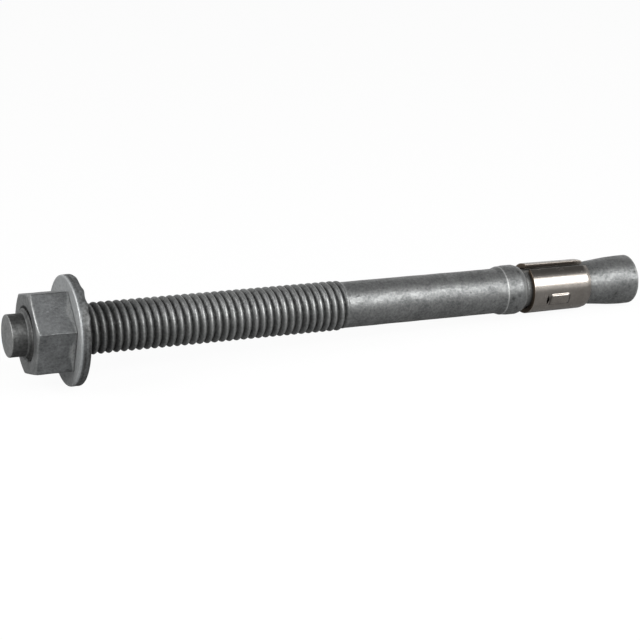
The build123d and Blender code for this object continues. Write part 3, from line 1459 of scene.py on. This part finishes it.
# ---- Clip ------------------------------------------------------------------------------------
@dataclass
class Clip:
    """Split spring sleeve of stainless sheet on the neck, with two lanced nibs pressed outwards."""

    # The mesh.
    edge_rows: Rows = (0.0, 0.02, 0.06, 0.11, 0.17)
    first_row: float = 0.32
    last_row: float = 0.25
    step_along: float = 0.15
    first_column: float = 1.0
    last_column: float = 0.8
    step_round: float = 1.2

    # The sleeve.
    start: float = 126.0
    length: float = 17.5
    inner: float = 5.3
    outer: float = 6.65
    taper: float = 0.1
    rolled_outer: float = 6.42
    rolled_length: float = 1.6
    rolled_power: float = 1.5
    slot_angle: float = 75.5
    slot_turn: float = 21.5
    edge_round: float = 0.16

    # The nibs, each the same turn from the slot, and the leaf-shaped cuts that free their ends.
    nib_turn: float = 91.0
    nib_from_end: float = 5.35
    nib_length: float = 5.7
    nib_width: float = 2.65
    nib_height: float = 0.42
    nib_share_inside: float = 0.72
    nib_wall: Span = (-0.16, 0.3)
    nib_rise: Span = (-0.2, 0.12)
    nib_fall: float = 1.2
    lance: float = 0.36
    lance_set_off: float = 0.7
    lance_side: float = 0.15

    # Painted shade: a band round each nib except on the side where angles grow, and the inner skin.
    band_worst: float = 0.9
    band_place: float = 0.24
    band_width: float = 0.2
    band_ends: Span = (0.1, 0.5)
    band_open: float = 0.3
    inner_shade: float = 0.3

    # The brown of the sheared edges.
    brown_span: Span = (0.03, 0.12)
    brown_far_end: float = 0.25
    brown_slot: float = 0.3
    brown_inside: float = 0.3

    @property
    def nib_start(self) -> float:
        """Where the nibs' lanced ends are."""
        return self.start + self.nib_from_end

    def across_nibs(self, angle: Array) -> list[Array]:
        """The distance round the sleeve from each nib's middle line, growing with the angle."""
        turns = (-self.nib_turn, self.nib_turn)
        return [angle_gap(angle, self.slot_angle + turn) * math.radians(self.outer) for turn in turns]

    def nib_form(self, x: Array, angle: Array) -> Array:
        """Height of the nibs over the sleeve: flat-topped mounds with steep sides, sloping down to flush.

        Args:
            x: Place along the axis, in mm.
            angle: Angle round the axis, in degrees.

        Returns:
            The height, in mm.
        """
        first, last = self.nib_start, self.nib_start + self.nib_length
        rise = smooth_step(first + self.nib_rise[0], first + self.nib_rise[1], x)
        fall = 1 - smooth_step(last - self.nib_fall, last, x)
        low, high = (self.nib_width / 2 + reach for reach in self.nib_wall)
        walls = [1 - smooth_step(low, high, np.abs(gap)) for gap in self.across_nibs(angle)]
        return self.nib_height * np.maximum(*walls) * rise * fall

    def nib_shade(self, x: Array, angle: Array) -> Array:
        """Share of painted shade round each nib: a band just outside its outline, but not where angles grow.

        Args:
            x: Place along the axis, in mm.
            angle: Angle round the axis, in degrees.

        Returns:
            The share, from 0 to 1.
        """
        before, after = self.band_ends
        past = np.maximum(self.nib_start - before - x, x - self.nib_start - self.nib_length + after)
        bands = [
            np.where(gap > self.nib_width / 2 - self.band_open, 0.0, self.band_worst)
            * bell(np.maximum(past, np.abs(gap) - self.nib_width / 2), self.band_place, self.band_width)
            for gap in self.across_nibs(angle)
        ]
        return np.maximum(*bands)

    def lances(self, x: Array, angle: Array) -> Array:
        """True in the leaf-shaped cuts at the nibs' ends, whose half width is lance * (1 - share squared).

        Args:
            x: Place along the axis, in mm.
            angle: Angle round the axis, in degrees.

        Returns:
            An array of truth values.
        """
        middle = self.nib_start - self.lance - self.lance_set_off
        half = self.nib_width / 2 + self.lance_side
        shares = [np.clip(np.abs(gap) / half, 0, 1) for gap in self.across_nibs(angle)]
        cuts = [(np.abs(x - middle) < self.lance * (1 - share**2)) & (share < 1) for share in shares]
        return cuts[0] | cuts[1]

    def edges(self, x: Array, turn: Array, whole: float) -> tuple[Array, Array]:
        """How far both skins draw in near the sheet's edges, and how brown those edges are.

        The end towards the collar is browner than the others.

        Args:
            x: Place along the axis.
            turn: Angle from the slot's first side, in degrees.
            whole: Angle that the sheet covers, in degrees.

        Returns:
            The drop in mm and the share of brown.
        """
        to_end = np.minimum(x - self.start, self.start + self.length - x)
        to_slot = np.minimum(turn, whole - turn) * math.radians(self.outer)
        sheared = np.where(x - self.start < self.length / 2, 1.0, self.brown_far_end)
        end = sheared * (1 - smooth_step(*self.brown_span, to_end))
        slot = self.brown_slot * (1 - smooth_step(*self.brown_span, to_slot))
        return edge_drop(np.minimum(to_end, to_slot), self.edge_round), np.maximum(end, slot)

    def grid(self, whole: float) -> tuple[Array, Array]:
        """Places along the sleeve and turns from the slot's first side, crowded at the sheet's edges.

        Args:
            whole: Angle that the sheet covers, in degrees.

        Returns:
            The places as a column and the turns as a row.
        """
        fine = np.array(self.edge_rows)
        along = np.arange(self.first_row, self.length - self.last_row, self.step_along)
        x = self.start + np.concatenate([fine, along, (self.length - fine)[::-1]])
        small = fine / math.radians(self.outer)
        first, last = small[-1] + self.first_column, whole - small[-1] - self.last_column
        turn = np.concatenate([small, np.arange(first, last, self.step_round), (whole - small)[::-1]])
        return x[:, None], turn[None, :]

    def build(self) -> bpy.types.Object:
        """The clip's mesh: two skins over one grid, joined at the ends, the slot and the lanced cuts.

        Returns:
            The clip's object.
        """
        whole = 360 - self.slot_turn
        x, turn = self.grid(whole)
        angle = self.slot_angle + self.slot_turn / 2 + turn
        lift = self.nib_form(x, angle)
        far_end = self.start + self.length
        rolled = smooth_step(far_end - self.rolled_length, far_end, x) ** self.rolled_power
        taper = (x - self.start) / self.length * self.taper
        drop, brown = self.edges(x, turn, whole)
        top = self.outer - taper - (self.outer - self.rolled_outer) * rolled + lift - drop
        bottom = self.inner + self.nib_share_inside * lift + drop
        skins = [round_axis(x, top, angle), round_axis(x, bottom, angle)]
        centre_x, centre_angle = (x[1:] + x[:-1]) / 2, (angle[:, 1:] + angle[:, :-1]) / 2
        faces = sheet_faces(~self.lances(centre_x, centre_angle))
        used = np.zeros(2 * top.size, bool)
        used[faces.ravel()] = True
        number = np.cumsum(used) - 1
        points = np.concatenate([skin.reshape(-1, 3) for skin in skins])[used]
        cut = np.concatenate([brown.ravel(), np.maximum(brown, self.brown_inside).ravel()])[used]
        # Painted shade round the nibs and on the inner skin.
        painted_shade = np.concatenate([self.nib_shade(x, angle).ravel(), np.full(top.size, self.inner_shade)])[used]
        return new_piece("clip", points, number[faces], {CUT: cut, GRIME_AND_SHADE: painted_shade})


# ---- Studio ----------------------------------------------------------------------------------
@dataclass(frozen=True)
class SoftBox:
    """A rectangular studio lamp that faces the anchor."""

    name: str
    place: tuple[float, float, float]
    aim: tuple[float, float, float]
    width: float
    height: float
    power: float

    def build(self) -> None:
        """Makes the lamp, turned from its place towards its aim."""
        data = bpy.data.lights.new(self.name, "AREA")
        data.shape = "RECTANGLE"
        data.size, data.size_y, data.energy = self.width, self.height, self.power
        lamp = bpy.data.objects.new(self.name, data)
        lamp.location = self.place
        way = Vector(self.aim) - Vector(self.place)
        lamp.rotation_euler = way.to_track_quat("-Z", "Y").to_euler()
        bpy.context.scene.collection.objects.link(lamp)


@dataclass
class Studio:
    """Floor, world, lamps and camera. Triples by ray are what the eye sees, what metal mirrors, the rest."""

    floor_half: float = 8.0
    floor_greys: tuple[float, float, float] = (0.8, 0.26, 0.3)
    floor_whites: tuple[float, float, float] = (0.94, 0.06, 0.0)
    sky_white: float = 1.0
    sky_light: float = 0.4
    sky_overhead: float = 0.12
    sky_heights: Span = (0.3, 0.8)
    camera_place: tuple[float, float, float] = (-0.196878, -0.425272, 0.162299)
    camera_turn: tuple[float, float, float] = (71.6031, 0.0, -24.2805)
    sensor: float = 36.0
    lens: float = 109.0755
    camera_reach: Span = (0.01, 20.0)
    lamps: tuple[SoftBox, ...] = (
        SoftBox("key_lamp", (0.14, -0.42, 0.288), (0.02, 0.0, 0.01), 0.9, 0.25, 5.0),
        SoftBox("side_lamp", (-0.6, -0.03, 0.36), (-0.06, 0.0, 0.01), 0.36, 0.36, 2.8),
    )

    def build_world(self) -> None:
        """White to the eye, white at the horizon but dim overhead to reflections, and a grey as a light."""
        world = bpy.data.worlds.new("studio_air")
        bpy.context.scene.world = world
        world.use_nodes = True
        wiring = Wiring.of(world.node_tree)
        background = wiring.nodes["Background"]
        background.inputs["Color"].default_value = WHITE
        way = wiring.nodes.new("ShaderNodeSeparateXYZ")
        wiring.links.new(wiring.nodes.new("ShaderNodeTexCoord").outputs["Generated"], way.inputs[0])
        mirrored = wiring.remap(way.outputs["Z"], (self.sky_white, self.sky_overhead), self.sky_heights)
        strength = wiring.by_ray(self.sky_white, mirrored, self.sky_light)
        wiring.links.new(strength, background.inputs["Strength"])

    def floor_material(self) -> bpy.types.Material:
        """Plain paper mixed with its own white, by the kind of ray, so that the paper keeps a shadow.

        Returns:
            The material.
        """
        material = bpy.data.materials.new("floor_paper")
        material.use_nodes = True
        wiring = Wiring.of(material.node_tree)
        wiring.nodes.remove(wiring.nodes["Principled BSDF"])
        paper = wiring.nodes.new("ShaderNodeBsdfDiffuse")
        wiring.links.new(wiring.by_ray(*self.floor_greys), paper.inputs["Color"])
        white = wiring.nodes.new("ShaderNodeEmission")
        white.inputs["Color"].default_value = WHITE
        mix = wiring.nodes.new("ShaderNodeMixShader")
        wiring.links.new(wiring.by_ray(*self.floor_whites), mix.inputs[0])
        wiring.links.new(paper.outputs[0], mix.inputs[1])
        wiring.links.new(white.outputs[0], mix.inputs[2])
        wiring.links.new(mix.outputs[0], wiring.nodes["Material Output"].inputs["Surface"])
        return material

    def build_floor(self) -> None:
        """A plain pale floor at Z = 0 that keeps the anchor's shadow."""
        h = self.floor_half
        mesh = bpy.data.meshes.new("floor")
        mesh.from_pydata([(-h, -h, 0), (h, -h, 0), (h, h, 0), (-h, h, 0)], [], [(0, 1, 2, 3)])
        floor = bpy.data.objects.new("floor", mesh)
        bpy.context.scene.collection.objects.link(floor)
        mesh.materials.append(self.floor_material())

    def build_camera(self) -> None:
        """The camera, which stands to the front and left of the anchor and looks down at it."""
        data = bpy.data.cameras.new("camera")
        data.sensor_width, data.lens = self.sensor, self.lens
        data.clip_start, data.clip_end = self.camera_reach
        camera = bpy.data.objects.new("camera", data)
        camera.location = self.camera_place
        camera.rotation_euler = Euler([math.radians(v) for v in self.camera_turn])
        bpy.context.scene.collection.objects.link(camera)
        bpy.context.scene.camera = camera

    def build(self) -> None:
        """Makes the whole studio and sets the plain view transform."""
        self.build_world()
        self.build_floor()
        self.build_camera()
        for lamp in self.lamps:
            lamp.build()
        bpy.context.scene.view_settings.view_transform = "Standard"


# ---- Assembly --------------------------------------------------------------------------------
@dataclass(frozen=True)
class Part:
    """How a dressed piece joins the frame: its maker, body, CAD node, material slot and finish."""

    maker: Stud | Nut | Washer | Clip
    body: str
    node: str
    slot: str
    finish: ZincFinish | SheetFinish

    def build(self) -> bpy.types.Object:
        """Builds the piece, dresses it, and has it ride on its body in place of its CAD node.

        Returns:
            The piece's object.
        """
        piece = self.maker.build()
        piece.data.materials.append(self.finish.material())
        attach(piece, self.body)
        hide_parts(self.node)
        return piece


PARTS = (
    Part(Stud(), "stud", "anchor_stud", "galvanised_stud", STUD_ZINC),
    Part(Nut(), "nut", "hex_nut", "galvanised_nut", NUT_ZINC),
    Part(Washer(), "washer", "flat_washer", "galvanised_washer", WASHER_ZINC),
    Part(Clip(), "clip", "expansion_clip", "stainless_clip", CLIP_SHEET),
)


def main() -> None:
    """Builds the shared groups, every piece and the studio, and reports each piece."""
    logging.basicConfig(level=logging.INFO, format="%(name)s: %(message)s")
    ZincBloom().build()
    FineGrit().build()
    for part in PARTS:
        piece = part.build()
        log.info("%s rides on %s, %d faces", piece.name, part.body, len(piece.data.polygons))
    Studio().build()


if __name__ == "__main__":
    main()
